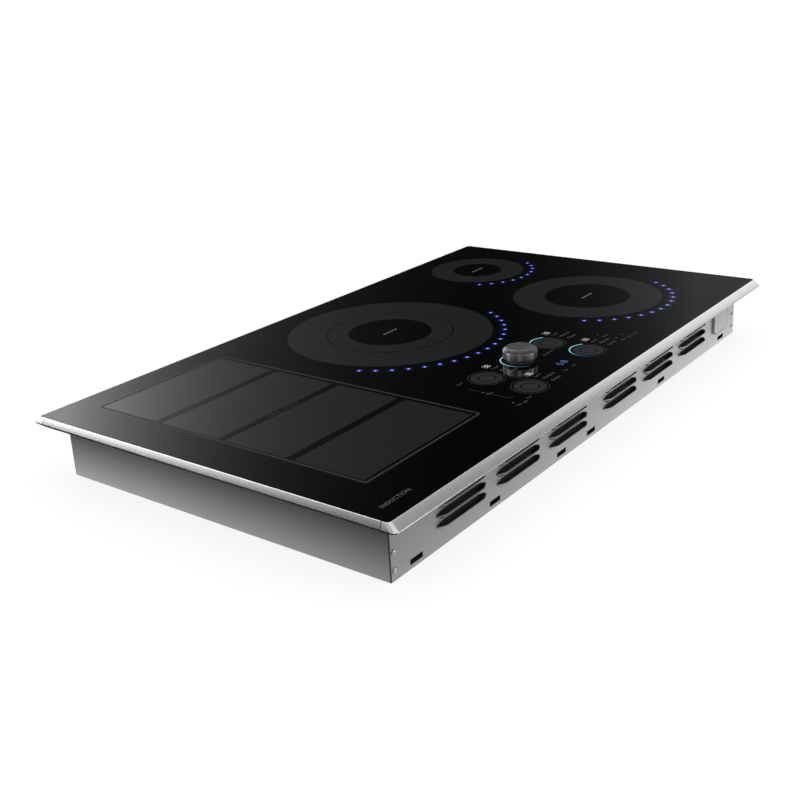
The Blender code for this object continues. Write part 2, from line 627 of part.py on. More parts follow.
def make_electronics():
    for name, (cx, width, depth) in BOARDS.items():
        cy = board_centre_y(depth)
        plate(name, [rectangle(width / 2, depth / 2, (cx, cy))], BOARD_HEIGHT, BOARD_TOP, BOARD)
    for hand in ("left", "right"):
        cx, _, depth = BOARDS[f"inverter_board_{hand}"]
        cy, half = board_centre_y(depth), depth / 2 - HEATSINK_INSET
        outline = heatsink_outline(HEATSINK_WIDTH, HEATSINK_HEIGHT, 0.005, HEATSINK_FINS, 0.002)
        comb = [(cx + x, BOARD_TOP + GAP + z) for x, z in outline]
        wall(f"heatsink_{hand}", [comb], cy - half, cy + half, ALUMINIUM)
    x, y = BUSHING_CENTRE[0] - 0.040, BOX_Y - 0.047
    block = place("terminal_block", cuboids("terminal_block", [((0, 0, 0), (0.060, 0.030, 0.018))]), CERAMIC,
                  (x, y, SHEET + GAP + 0.009))
    grooves = [((offset, -0.010, 0.009), (0.008, 0.016, 0.010)) for offset in (-0.020, 0.0, 0.020)]
    boolean(block, cutter("terminal_grooves", cuboids("terminal_grooves", grooves), block.location), "DIFFERENCE")


def make_controls():
    x, y = KNOB_CENTRE
    holder_top = TRAY_TOP + GAP + 0.008
    edge = rounded(0.150, 0.056, 0.006, (x + 0.003, y - 0.025), 3)
    plate("control_holder", [edge], TRAY_TOP + GAP, holder_top, PLASTIC)
    edge = rounded(0.145, 0.052, 0.004, (x + 0.003, y - 0.025), 3)
    plate("control_board", [edge], holder_top + GAP, holder_top + GAP + BOARD_THICKNESS, BOARD)


def make_fans():
    bottom = SHEET + GAP
    for hand, centre in FAN_CENTRES.items():
        housing = ring(f"fan_housing_{hand}", centre, FAN_RADIUS - FAN_WALL, FAN_RADIUS, bottom,
                       bottom + FAN_HEIGHT, PLASTIC, 40)
        span = 2 * FAN_RADIUS - FAN_WALL
        bars = [((*centre, bottom + 0.001), (span, 0.006, 0.002)), ((*centre, bottom + 0.001), (0.006, span, 0.002))]
        for i, bar in enumerate(bars):
            name = f"fan_strut_{hand}_{i + 1}"
            boolean(housing, cutter(name, cuboids(name, [bar])), "UNION")
        empty = joint_empty(f"fan_axis_{hand}", (*centre, bottom))
        hub_bottom, hub_top = 0.003, FAN_HEIGHT - 0.003
        hub = turned(f"fan_impeller_{hand}", [(0, hub_top), (FAN_HUB_RADIUS, hub_top), (FAN_HUB_RADIUS, hub_bottom),
                                             (0, hub_bottom)], (*centre, bottom), PLASTIC, steps=32)
        tip = FAN_RADIUS - FAN_WALL - FAN_TIP_CLEARANCE
        blade = (tip - FAN_HUB_RADIUS + 0.004, 0.0015, 0.016)
        for i in range(FAN_BLADES):
            name = f"fan_blade_{hand}_{i + 1}"
            mesh = cuboids(name, [(((tip + FAN_HUB_RADIUS - 0.004) / 2, 0, 0), blade)])
            turn = radians(360 * i / FAN_BLADES)
            boolean(hub, cutter(name, mesh, (*centre, bottom + (hub_bottom + hub_top) / 2),
                                (radians(35), 0, turn)), "UNION")
        hang(hub, empty)


# ---------------------------------------------------------------- lift-off knob
def make_knob():
    glass = GLASS_TOP + GAP
    foot_top = GLASS_TOP + KNOB_SKIRT - 0.0010
    spindle_top = GLASS_TOP + KNOB_TOP - 0.0055
    magnet_bottom = foot_top + GAP
    magnet_top = magnet_bottom + 0.0040
    spindle = KNOB_SPINDLE_RADIUS
    lift = joint_empty("knob_lift_axis", (*KNOB_CENTRE, GLASS_TOP))
    foot = turned("knob_foot", [(0, spindle_top), (spindle, spindle_top), (spindle, foot_top),
                                (KNOB_FOOT_RADIUS, foot_top), (KNOB_FOOT_RADIUS, glass), (0, glass)],
                  (*KNOB_CENTRE, 0), PLASTIC, steps=32)
    magnet = ring("knob_magnet", KNOB_CENTRE, spindle + GAP, 0.0140, magnet_bottom, magnet_top, MAGNET, 32)
    top = GLASS_TOP + KNOB_TOP
    skirt = GLASS_TOP + KNOB_SKIRT
    outer, inner = KNOB_RADIUS, KNOB_RADIUS - KNOB_WALL
    roof = spindle_top + GAP
    boss = spindle + 0.0030
    profile = [(0, top - 0.0005), (outer - 0.0035, top - 0.0005), (outer - 0.0028, top), (outer - 0.0018, top),
               (outer - 0.0008, top - 0.0012), (outer - 0.0008, top - 0.0018), (outer - 0.0012, top - 0.0018),
               (outer - 0.0012, top - 0.0024), (outer, top - 0.0026), (outer, skirt + 0.0008),
               (outer - 0.0006, skirt), (inner, skirt), (inner, roof), (boss, roof),
               (boss, magnet_top + GAP), (spindle + GAP, magnet_top + GAP), (spindle + GAP, roof), (0, roof)]
    cap = turned("knob_cap", profile, (*KNOB_CENTRE, 0), SATIN, steps=40)
    for piece in (foot, magnet, cap):
        hang(piece, lift)


make_glass()
make_trims()
make_frame()
make_front_panel()
make_access_plate()
make_back_panel()
make_side_panels()
make_pan()
make_screws()
make_bushing()
make_coil_tray()
make_burners()
make_flex_zone()
make_electronics()
make_controls()
make_fans()
make_knob()
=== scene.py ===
"""Looks of a built-in induction cooktop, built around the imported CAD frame.

Units are metres in the CAD frame: +X right, +Y back, +Z up, the box's underside at z = 0.
"""
from math import cos, sin, pi, radians

import bpy
import bmesh
from mathutils import Matrix, Vector


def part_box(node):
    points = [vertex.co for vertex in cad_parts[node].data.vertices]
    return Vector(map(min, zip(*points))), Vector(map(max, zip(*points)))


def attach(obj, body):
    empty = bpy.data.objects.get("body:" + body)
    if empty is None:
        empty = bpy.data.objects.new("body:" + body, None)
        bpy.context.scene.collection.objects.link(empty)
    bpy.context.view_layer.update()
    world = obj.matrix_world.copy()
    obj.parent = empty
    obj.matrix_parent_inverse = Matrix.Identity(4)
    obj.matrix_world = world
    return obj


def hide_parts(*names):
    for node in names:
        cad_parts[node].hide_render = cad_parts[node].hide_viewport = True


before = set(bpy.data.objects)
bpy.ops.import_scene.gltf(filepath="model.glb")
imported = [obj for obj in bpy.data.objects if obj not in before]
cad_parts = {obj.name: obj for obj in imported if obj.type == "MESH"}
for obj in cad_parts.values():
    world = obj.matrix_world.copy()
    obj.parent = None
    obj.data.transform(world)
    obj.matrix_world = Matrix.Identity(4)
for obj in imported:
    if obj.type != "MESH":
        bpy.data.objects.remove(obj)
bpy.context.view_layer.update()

# ---------------------------------------------------------------- sizes taken from the frame
HAIR = 0.0003                                   # clearance the CAD keeps between touching pieces
SHEET = 0.0010
GLASS_LOW, GLASS_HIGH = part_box("glass_top")
TOP = GLASS_HIGH.z
TRIM_LOW, TRIM_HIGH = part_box("trim_front")
HALF_W, HALF_D = TRIM_HIGH.x, -TRIM_LOW.y
TRIM_BOTTOM = TRIM_LOW.z
SIDE_BAND = HALF_W - GLASS_HIGH.x - HAIR
FRONT_BAND = HALF_D - GLASS_HIGH.y - HAIR
TRIM_SEAM = HALF_D - 0.0175                      # where the front and side trims meet
PANEL_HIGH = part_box("back_panel")[1]
BOX_X, BOX_Y, PANEL_TOP = PANEL_HIGH.x, PANEL_HIGH.y, PANEL_HIGH.z
KNOB_LOW, KNOB_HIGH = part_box("knob_cap")
KNOB = Vector(((KNOB_LOW.x + KNOB_HIGH.x) / 2, (KNOB_LOW.y + KNOB_HIGH.y) / 2, 0))
KNOB_RADIUS = (KNOB_HIGH.x - KNOB_LOW.x) / 2

TRIM_RADIUS = 0.0065                            # plan radius of the trim's outer corner
GLASS_RADIUS = 0.0050
PRINT = 0.00004                                 # thickness of a printed layer on the glass
LIFT = 0.00003                                  # clearance between the glass and a printed layer
LAMP_HEIGHT = TOP + 2 * LIFT + 2 * PRINT

# ---------------------------------------------------------------- layout of the glass print
BURNERS = {
    "large": {"centre": (-0.0070, 0.0810), "bands": ((0.0575, 0.0862), (0.0878, 0.1410)),
              "light": 0.1570, "arc": (203, 331), "dots": 18},
    "right_front": {"centre": (0.2670, -0.0760), "bands": ((0.0620, 0.1080),),
                    "light": 0.1230, "arc": (206, 331), "dots": 14},
    "right_rear": {"centre": (0.3210, 0.1510), "bands": ((0.0390, 0.0745),),
                   "light": 0.0890, "arc": (215, 325), "dots": 10},
}
FLEX_X = (-0.4010, -0.1940)
FLEX_Y = (-0.1890, 0.2170)
FLEX_CELLS = ((-0.1820, -0.0900), (-0.0790, 0.0100), (0.0200, 0.1100), (0.1210, 0.2110))
PADS = {"front_left": (-0.0970, -0.1930), "rear_left": (-0.0980, -0.1340),
        "front_right": (0.0500, -0.1920), "rear_right": (0.0500, -0.1340)}
PAD_RADIUS = 0.0210
PAD_WORDS = ("Low", "Medium", "Boost")
STATUS_DOTS = ((0.1100, -0.1745), (0.1260, -0.2015), (0.1100, -0.2010), (-0.1407, -0.1557), (-0.1504, -0.2027))
# word, left end, base line, letter height
STATUS_WORDS = (("Timer", 0.1045, -0.1860, 0.0042), ("Hold", 0.1030, -0.2135, 0.0042),
                ("Lock panel", 0.1180, -0.2150, 0.0042), ("Flex", -0.1440, -0.1660, 0.0042),
                ("On", -0.1560, -0.2135, 0.0042), ("Off", -0.1450, -0.2150, 0.0042),
                ("min", -0.0130, -0.2040, 0.0046), ("Set", -0.0320, -0.2040, 0.0046),
                ("Sync", -0.1350, -0.1180, 0.0036), ("Melt", -0.1320, -0.2115, 0.0036),
                ("Keep warm", 0.0050, -0.1540, 0.0042))
FRONT_WORD = (-0.4340, -0.2345)

# ---------------------------------------------------------------- camera
CAMERA_PLACE = Vector((-1.1476, -0.8178, TOP + 0.4663))
CAMERA_YAW, CAMERA_PITCH, CAMERA_ROLL = 38.34, 19.12, 3.41
CAMERA_LENS = 49.93
CAMERA_SHIFT = (0.0128, -0.0534)


def make_camera():
    yaw, pitch, roll = (radians(a) for a in (CAMERA_YAW, CAMERA_PITCH, CAMERA_ROLL))
    forward = Vector((cos(pitch) * cos(yaw), cos(pitch) * sin(yaw), -sin(pitch)))
    level = Vector((sin(yaw), -cos(yaw), 0))
    upright = level.cross(forward)
    right = level * cos(roll) - upright * sin(roll)
    up = right.cross(forward)
    data = bpy.data.cameras.new("camera")
    data.lens = CAMERA_LENS
    data.sensor_width = 36.0
    data.shift_x, data.shift_y = CAMERA_SHIFT
    data.clip_start = 0.01
    camera = bpy.data.objects.new("camera", data)
    turn = Matrix((right, up, -forward)).transposed().to_4x4()
    camera.matrix_world = Matrix.Translation(CAMERA_PLACE) @ turn
    bpy.context.scene.collection.objects.link(camera)
    bpy.context.scene.camera = camera


# ---------------------------------------------------------------- material helpers
def new_material(name):
    """A material with its shader and a function that adds a node and wires it up."""
    mat = bpy.data.materials.new(name)
    mat.use_nodes = True
    tree = mat.node_tree
    shader = tree.nodes["Principled BSDF"]

    def node(kind, settings=None, **inputs):
        made = tree.nodes.new("ShaderNode" + kind)
        for key, value in (settings or {}).items():
            setattr(made, key, value)
        for key, value in inputs.items():
            feed(made, key.replace("_", " "), value)
        return made

    def feed(target, socket, value):
        into = target.inputs[socket] if isinstance(socket, (str, int)) else socket
        if isinstance(value, bpy.types.NodeSocket):
            tree.links.new(value, into)
        else:
            into.default_value = value

    return mat, shader, node, feed


def ramp(node, factor, low, high, start=0.0, end=1.0):
    """A two-stop colour ramp driven by a factor."""
    made = node("ValToRGB")
    made.color_ramp.elements[0].position = start
    made.color_ramp.elements[1].position = end
    made.color_ramp.elements[0].color = (*low, 1) if isinstance(low, tuple) else (low, low, low, 1)
    made.color_ramp.elements[1].color = (*high, 1) if isinstance(high, tuple) else (high, high, high, 1)
    made.id_data.links.new(factor, made.inputs["Fac"])
    return made.outputs["Color"]


def stretched_noise(node, scale, stretch, detail=4.0, rough=0.6):
    """Noise in object space, drawn out by a scale for each axis."""
    coords = node("TexCoord")
    mapping = node("Mapping", Vector=coords.outputs["Object"])
    mapping.inputs["Scale"].default_value = stretch
    return node("TexNoise", Vector=mapping.outputs["Vector"], Scale=scale, Detail=detail,
                Roughness=rough).outputs["Fac"]


def bump(node, height, strength, distance):
    return node("Bump", Height=height, Strength=strength, Distance=distance).outputs["Normal"]


def brushed_metal(name, tone, rough, grain=(1.0, 60.0, 60.0), strength=0.08, spread=0.10, gloss=0.07,
                  metallic=1.0):
    """Brushed steel: fine scratches drawn out along one axis, with faint blotches."""
    mat, shader, node, feed = new_material(name)
    fine = stretched_noise(node, 60.0, grain)
    broad = stretched_noise(node, 5.0, (1, 1, 1), detail=2.0)
    dark = tuple(c * (1 - spread) for c in tone)
    light = tuple(min(1.0, c * (1 + spread)) for c in tone)
    mix = node("Math", {"operation": "MULTIPLY_ADD"})
    feed(mix, 0, fine)
    feed(mix, 1, 0.6)
    scaled = node("Math", {"operation": "MULTIPLY"})
    feed(scaled, 0, broad)
    feed(scaled, 1, 0.4)
    feed(mix, 2, scaled.outputs[0])
    feed(shader, "Base Color", ramp(node, mix.outputs[0], dark, light, 0.30, 0.70))
    feed(shader, "Roughness", ramp(node, fine, rough - gloss, rough + gloss, 0.3, 0.7))
    shader.inputs["Metallic"].default_value = metallic
    feed(shader, "Normal", bump(node, fine, strength, 0.0002))
    return mat


GLOSS_IOR = 1.15                                # keeps reflections on the dark top as soft as they look


def black_glass(name, tone, rough=0.045, speck=0.0):
    """Gloss glass ceramic: near black, with a very faint mottle in tone and gloss."""
    mat, shader, node, feed = new_material(name)
    cloud = stretched_noise(node, 9.0, (1, 1, 1), detail=3.0)
    grain = stretched_noise(node, 1400.0, (1, 1, 1), detail=1.0)
    mix = node("Math", {"operation": "MULTIPLY_ADD"})
    feed(mix, 0, grain)
    feed(mix, 1, speck)
    feed(mix, 2, cloud)
    low = tuple(c * 0.8 for c in tone)
    high = tuple(c * 1.2 for c in tone)
    feed(shader, "Base Color", ramp(node, mix.outputs[0], low, high, 0.35, 0.65 + speck))
    feed(shader, "Roughness", ramp(node, cloud, rough * 0.85, rough * 1.25, 0.3, 0.7))
    shader.inputs["IOR"].default_value = GLOSS_IOR
    return mat


def printed(name, tone, rough, dot=0.0011, contrast=0.25):
    """Enamel print seen through gloss: a fine dot screen under a clear coat."""
    mat, shader, node, feed = new_material(name)
    coords = node("TexCoord")
    cells = node("TexVoronoi", {"feature": "F1"}, Vector=coords.outputs["Object"], Scale=1.0 / dot)
    cells.inputs["Randomness"].default_value = 0.15
    low = tuple(c * (1 - contrast) for c in tone)
    high = tuple(c * (1 + contrast) for c in tone)
    feed(shader, "Base Color", ramp(node, cells.outputs["Distance"], high, low, 0.15, 0.65))
    cloud = stretched_noise(node, 12.0, (1, 1, 1), detail=2.0)
    feed(shader, "Roughness", ramp(node, cloud, rough - 0.03, rough + 0.03, 0.3, 0.7))
    shader.inputs["Coat Weight"].default_value = 1.0
    shader.inputs["Coat Roughness"].default_value = 0.12
    shader.inputs["Coat IOR"].default_value = GLOSS_IOR + 0.05
    shader.inputs["Specular IOR Level"].default_value = 0.0
    return mat


def lit(name, core, rim, strength):
    """Light seen through the glass: bright in the middle and coloured at the edge of each mark."""
    mat, shader, node, feed = new_material(name)
    glow = node("Attribute", {"attribute_name": "glow"})
    colour = ramp(node, glow.outputs["Fac"], rim, core, 0.55, 0.95)
    power = node("Math", {"operation": "MULTIPLY"})
    curve = node("Math", {"operation": "POWER"})
    feed(curve, 0, glow.outputs["Fac"])
    feed(curve, 1, 2.0)
    feed(power, 0, curve.outputs[0])
    feed(power, 1, strength)
    feed(shader, "Base Color", (0.003, 0.003, 0.004, 1))
    feed(shader, "Emission Color", colour)
    feed(shader, "Emission Strength", power.outputs[0])
    shader.inputs["Roughness"].default_value = 0.05
    return mat


def plastic(name, tone, rough, bumps=0.15, scale=900.0, metallic=0.0):
    """Moulded or coated surface with a fine texture and faint tone changes."""
    mat, shader, node, feed = new_material(name)
    fine = stretched_noise(node, scale, (1, 1, 1), detail=2.0)
    broad = stretched_noise(node, 14.0, (1, 1, 1), detail=3.0)
    low = tuple(c * 0.85 for c in tone)
    high = tuple(min(1.0, c * 1.15) for c in tone)
    feed(shader, "Base Color", ramp(node, broad, low, high, 0.35, 0.65))
    feed(shader, "Roughness", ramp(node, fine, rough - 0.05, rough + 0.05, 0.35, 0.65))
    feed(shader, "Normal", bump(node, fine, bumps, 0.0001))
    shader.inputs["Metallic"].default_value = metallic
    return mat


# ---------------------------------------------------------------- mesh helpers
def link(name, mesh, mat, smooth=None):
    obj = bpy.data.objects.new(name, mesh)
    bpy.context.scene.collection.objects.link(obj)
    mesh.materials.append(mat)
    if smooth is not None:
        mesh.shade_smooth()
        mesh.set_sharp_from_angle(angle=radians(smooth))
    return obj


def from_bmesh(name, bm, mat, smooth=None):
    bmesh.ops.recalc_face_normals(bm, faces=bm.faces)
    mesh = bpy.data.meshes.new(name)
    bm.to_mesh(mesh)
    bm.free()
    return link(name, mesh, mat, smooth)


def arc(centre, radius, start, end, steps):
    angles = [radians(start + (end - start) * i / steps) for i in range(steps + 1)]
    return [(centre[0] + radius * cos(a), centre[1] + radius * sin(a)) for a in angles]


def circle(centre, radius, steps=72):
    return arc(centre, radius, 0, 360, steps)[:-1]


def rectangle(low_x, high_x, low_y, high_y):
    return [(low_x, low_y), (high_x, low_y), (high_x, high_y), (low_x, high_y)]


def rounded(low_x, high_x, low_y, high_y, radius, steps=8):
    r = radius
    return (arc((low_x + r, low_y + r), r, 180, 270, steps) + arc((high_x - r, low_y + r), r, 270, 360, steps)
            + arc((high_x - r, high_y - r), r, 0, 90, steps) + arc((low_x + r, high_y - r), r, 90, 180, steps))


def filled(outlines, thickness):
    """A mesh of flat plates from closed outlines in XY; an outline inside another is a hole."""
    curve = bpy.data.curves.new("outline", "CURVE")
    curve.dimensions = "2D"
    curve.fill_mode = "BOTH"
    curve.extrude = thickness / 2
    for outline in outlines:
        spline = curve.splines.new("POLY")
        spline.points.add(len(outline) - 1)
        for point, (x, y) in zip(spline.points, outline):
            point.co = (x, y, 0, 1)
        spline.use_cyclic_u = True
    source = bpy.data.objects.new("outline", curve)
    bpy.context.scene.collection.objects.link(source)
    bpy.context.view_layer.update()
    graph = bpy.context.evaluated_depsgraph_get()
    mesh = bpy.data.meshes.new_from_object(source.evaluated_get(graph))
    bpy.data.objects.remove(source)
    bm = bmesh.new()
    bm.from_mesh(mesh)
    bmesh.ops.remove_doubles(bm, verts=bm.verts, dist=0.000001)
    return bm


def printed_shape(name, outlines, mat, level=0):
    """A printed layer lying on the glass; a higher level lies on the one below it."""
    bm = filled(outlines, PRINT)
    base = TOP + LIFT + level * (PRINT + LIFT)
    bmesh.ops.translate(bm, verts=bm.verts, vec=(0, 0, base + PRINT / 2))
    obj = from_bmesh(name, bm, mat)
    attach(obj, "cooktop")
    return obj


def lettering(name, words, mat, spacing=1.0):
    """Printed words, each (text, left end, base line, letter height), as one thin mesh on the glass."""
    bm = bmesh.new()
    for text, x, y, height in words:
        curve = bpy.data.curves.new("word", "FONT")
        curve.body = text
        curve.size = height / 0.72
        curve.space_character = spacing
        curve.extrude = PRINT / 2
        curve.resolution_u = 3
        source = bpy.data.objects.new("word", curve)
        bpy.context.scene.collection.objects.link(source)
        bpy.context.view_layer.update()
        graph = bpy.context.evaluated_depsgraph_get()
        mesh = bpy.data.meshes.new_from_object(source.evaluated_get(graph))
        mesh.transform(Matrix.Translation((x, y, TOP + LIFT + PRINT / 2)))
        bm.from_mesh(mesh)
        bpy.data.objects.remove(source)
    bmesh.ops.remove_doubles(bm, verts=bm.verts, dist=0.000001)
    obj = from_bmesh(name, bm, mat)
    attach(obj, "cooktop")


def turned(name, profile, centre, mat, steps=128, smooth=30):
    """A solid turned from (radius, height) points that run from the axis, out, down and back."""
    bm = bmesh.new()
    rings = []
    for radius, height in profile:
        if radius < 1e-7:
            rings.append([bm.verts.new((centre[0], centre[1], height))])
        else:
            rings.append([bm.verts.new((centre[0] + radius * cos(2 * pi * i / steps),
                                        centre[1] + radius * sin(2 * pi * i / steps), height))
                          for i in range(steps)])
    for a, b in zip(rings, rings[1:]):
        for i in range(steps):
            j = (i + 1) % steps
            corners = [a[i % len(a)], a[j % len(a)], b[j % len(b)], b[i % len(b)]]
            face = list(dict.fromkeys(corners))
            if len(face) > 2:
                bm.faces.new(face)
    return from_bmesh(name, bm, mat, smooth)


def fillet(points, radius, steps=4):
    """Rounds each inner corner of an open profile by a small radius."""
    result = [points[0]]
    for before, corner, after in zip(points, points[1:], points[2:]):
        a, b, c = Vector(before), Vector(corner), Vector(after)
        reach = min(radius, (a - b).length * 0.45, (c - b).length * 0.45)
        start, end = b + (a - b).normalized() * reach, b + (c - b).normalized() * reach
        for i in range(steps + 1):
            t = i / steps
            result.append(tuple(start * (1 - t) ** 2 + b * 2 * t * (1 - t) + end * t ** 2))
    return result + [points[-1]]


def loft(name, sections, mat, smooth=35):
    """A closed solid through equal cross sections, capped at both ends."""
    bm = bmesh.new()
    rows = [[bm.verts.new(point) for point in section] for section in sections]
    count = len(rows[0])
    for row, after in zip(rows, rows[1:]):
        for i in range(count):
            j = (i + 1) % count
            bm.faces.new((row[i], row[j], after[j], after[i]))
    bm.faces.new(rows[0])
    bm.faces.new(list(reversed(rows[-1])))
    return from_bmesh(name, bm, mat, smooth)


def soften(obj, width, segments=2, angle=35):
    """Rounds an object's sharp edges."""
    bevel = obj.modifiers.new("edge", "BEVEL")
    bevel.width = width
    bevel.segments = segments
    bevel.limit_method = "ANGLE"
    bevel.angle_limit = radians(angle)
    bevel.harden_normals = False


# ---------------------------------------------------------------- materials
MATS = {
    "glass": black_glass("glass_ceramic", (0.0007, 0.0007, 0.0009), speck=0.10),
    "zone": printed("zone_print", (0.0118, 0.0123, 0.0132), 0.45),
    "pad": printed("pad_print", (0.0210, 0.0215, 0.0225), 0.45),
    "word": printed("word_print", (0.085, 0.086, 0.088), 0.45, contrast=0.1),
    "line": printed("line_print", (0.018, 0.019, 0.020), 0.45, contrast=0.1),
    "label": printed("label_print", (0.16, 0.16, 0.165), 0.5, contrast=0.1),
    "dim": printed("dim_label_print", (0.060, 0.062, 0.065), 0.5, contrast=0.1),
    "matte": plastic("matte_line", (0.004, 0.004, 0.004), 0.9, 0.0),
    "trim": brushed_metal("trim_steel", (0.66, 0.67, 0.68), 0.24, strength=0.004, spread=0.02, gloss=0.025),
    "trim_side": brushed_metal("trim_side_steel", (0.66, 0.67, 0.68), 0.24, (60.0, 1.0, 60.0), 0.004, 0.02,
                               0.025),
    "panel": brushed_metal("panel_steel", (0.40, 0.405, 0.415), 0.40, strength=0.03, spread=0.06),
    # the front panel's steel, toned darker for the side walls: painted shade
    "panel_side": brushed_metal("side_panel_steel_painted_shade", (0.32, 0.325, 0.335), 0.32, (60.0, 1.0, 60.0), 0.03, 0.06),
    "zinc": plastic("zinc_coated_steel", (0.42, 0.43, 0.44), 0.42, 0.05, 220.0, 1.0),
    "knob": brushed_metal("knob_metal", (0.40, 0.40, 0.41), 0.31, (1.0, 1.0, 25.0), 0.001, 0.03, 0.01),
    # near-black metal for the knob's chamfer ring: painted shade
    "knob_chamfer_painted_shade": brushed_metal("knob_chamfer_painted_shade", (0.05, 0.05, 0.055), 0.30, (1.0, 1.0, 25.0), 0.001, 0.03, 0.01,
                               0.80),
    "screw": brushed_metal("screw_steel", (0.55, 0.55, 0.56), 0.25, (1, 1, 1), 0.04, 0.06),
    # near-black strip in the corner gaps of the front wall: painted shade
    "seam": plastic("corner_gap_painted_shade", (0.012, 0.012, 0.013), 0.80),
    # near-black metal for the inside of the louvre scoops: painted shade
    "louvre_inside_painted_shade": brushed_metal("louvre_inside_painted_shade", (0.030, 0.030, 0.032), 0.55),
    "black": plastic("black_moulding", (0.020, 0.020, 0.022), 0.45),
    "foam": plastic("seal_foam", (0.025, 0.025, 0.026), 0.92, 0.8, 500.0),
    "silicone": plastic("silicone_bead", (0.04, 0.04, 0.04), 0.55),
    "mica": plastic("mica_sheet", (0.55, 0.50, 0.42), 0.55, 0.3, 150.0),
    "aluminium": brushed_metal("aluminium_sheet", (0.72, 0.73, 0.74), 0.38),
    "copper": plastic("copper_winding", (0.70, 0.36, 0.20), 0.32, 0.5, 350.0, 1.0),
    "board": plastic("circuit_board", (0.03, 0.16, 0.07), 0.40, 0.3, 260.0),
    "ceramic": plastic("ceramic_body", (0.78, 0.77, 0.73), 0.40, 0.1, 300.0),
    "diffuser": plastic("light_diffuser", (0.70, 0.76, 0.82), 0.40, 0.1, 400.0),
    "magnet": plastic("magnet_plating", (0.40, 0.40, 0.41), 0.25, 0.05, 300.0, 1.0),
    "led": lit("blue_light", (0.60, 0.72, 1.0), (0.005, 0.015, 0.80), 1.4),
    "cyan": lit("cyan_light", (0.36, 0.72, 0.85), (0.08, 0.30, 0.50), 1.5),
    "digits": lit("digit_light", (0.20, 0.50, 0.90), (0.04, 0.18, 0.70), 0.9),
    "white": lit("white_light", (0.70, 0.78, 0.85), (0.30, 0.38, 0.48), 1.1),
}


# ---------------------------------------------------------------- CAD nodes that keep their shape
def finish_cad_nodes():
    rules = (("screw_", "screw"), ("back_panel", "zinc"), ("bottom_pan", "zinc"), ("support_frame", "zinc"),
             ("countertop_seal", "foam"), ("glass_adhesive", "silicone"), ("coil_carrier", "mica"),
             ("coil_tray", "aluminium"), ("heatsink", "aluminium"), ("coil_", "copper"),
             ("inverter_board", "board"), ("filter_board", "board"), ("control_board", "board"),
             ("temperature_sensor", "ceramic"), ("terminal_block", "ceramic"), ("light_guide", "diffuser"),
             ("left_panel", "panel_side"), ("right_panel", "panel_side"), ("front_panel", "panel"),
             ("access_plate", "panel"), ("trim_front", "trim"), ("trim_back", "trim"), ("trim_", "trim_side"),
             ("glass_top", "glass"), ("knob_cap", "knob"), ("knob_magnet", "magnet"), ("", "black"))
    for name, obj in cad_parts.items():
        key = next(key for start, key in rules if name.startswith(start))
        obj.data.materials.clear()
        obj.data.materials.append(MATS[key])


# ---------------------------------------------------------------- glass and trims
def make_glass():
    x, y = GLASS_HIGH.x, GLASS_HIGH.y
    bm = filled([rounded(-x, x, -y, y, GLASS_RADIUS)], GLASS_HIGH.z - GLASS_LOW.z)
    bmesh.ops.translate(bm, verts=bm.verts, vec=(0, 0, (GLASS_HIGH.z + GLASS_LOW.z) / 2))
    glass = from_bmesh("glass_plate", bm, MATS["glass"])
    soften(glass, 0.0006, 3)
    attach(glass, "cooktop")
    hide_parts("glass_top")


def trim_path(f, steps=12):
    """Plan points of the front trim, wrapped round both corners: f is 0 at the glass and 1 outside."""
    x = HALF_W - SIDE_BAND * (1 - f)
    y = HALF_D - FRONT_BAND * (1 - f)
    radius = (GLASS_RADIUS + HAIR) * (1 - f) + TRIM_RADIUS * f
    corner = arc((-x + radius, -y + radius), radius, 180, 270, steps)
    half = [(-x, -TRIM_SEAM), (-x, radius - y + 0.0006)] + corner
    return half + [(-px, py) for px, py in reversed(half)]


def trim_section(crest=0.0012):
    """The trim's section as a closed loop of (f, height): crest at the glass, slope and rolled edge."""
    low, edge, reveal = TRIM_BOTTOM, 0.0011, 0.0003
    corners = [(FRONT_BAND, low), (reveal, low), (reveal, TOP), (crest, TOP), (FRONT_BAND, low + edge),
               (FRONT_BAND, low)]
    return [(out / FRONT_BAND, height) for out, height in fillet(corners, 0.0009, 5)[:-1]]


def make_trims():
    section = trim_section()
    for name, side in (("front", 1), ("back", -1)):
        paths = [[(x, y * side, height) for x, y in trim_path(f)] for f, height in section]
        trim = loft(f"{name}_trim", list(zip(*paths)), MATS["trim"])
        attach(trim, "cooktop")
        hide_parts(f"trim_{name}")
    section = trim_section(crest=0.0018)
    for name, side in (("left", -1), ("right", 1)):
        rows = [[(side * (HALF_W - SIDE_BAND * (1 - f)), end * (TRIM_SEAM - 0.0008), z) for f, z in section]
                for end in (-1, 1)]
        trim = loft(f"{name}_trim", rows, MATS["trim_side"])
        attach(trim, "cooktop")
        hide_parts(f"trim_{name}")


# ---------------------------------------------------------------- front panel
LOUVRE_LENGTH = 0.0930
LOUVRE_PITCH = 0.0120
LOUVRE_REACH = 0.0063
LOUVRE_DROP = 0.0044
LOUVRE_SKIN = 0.0008
LOUVRE_TOP = 0.0275
SEAM = 0.0008                                   # gap at each corner between the front and side walls, filled with a dark strip as painted shade
LOUVRE_END = 0.30                               # share of each half that tapers to a point
LOUVRE_COLUMNS = [start + i * 0.1120 for start in (-0.3100, 0.0480) for i in range(3)]
LOUVRE_ROWS = [TOP - LOUVRE_TOP - i * LOUVRE_PITCH for i in range(3)]
SLOT_CENTRES = (-0.3900, -0.2470, -0.1020, -0.0290, 0.1720, 0.3800)
SLOT_SIZE = (0.0210, 0.0060)
SLOT_BASE = 0.0045


def louvre_fullness(u):
    """How open a louvre is along its length: 1 in the middle, 0 at its tips."""
    edge = (abs(u) - (1 - LOUVRE_END)) / LOUVRE_END
    return 1.0 if edge <= 0 else max(0.0, 1 - edge ** 1.5)


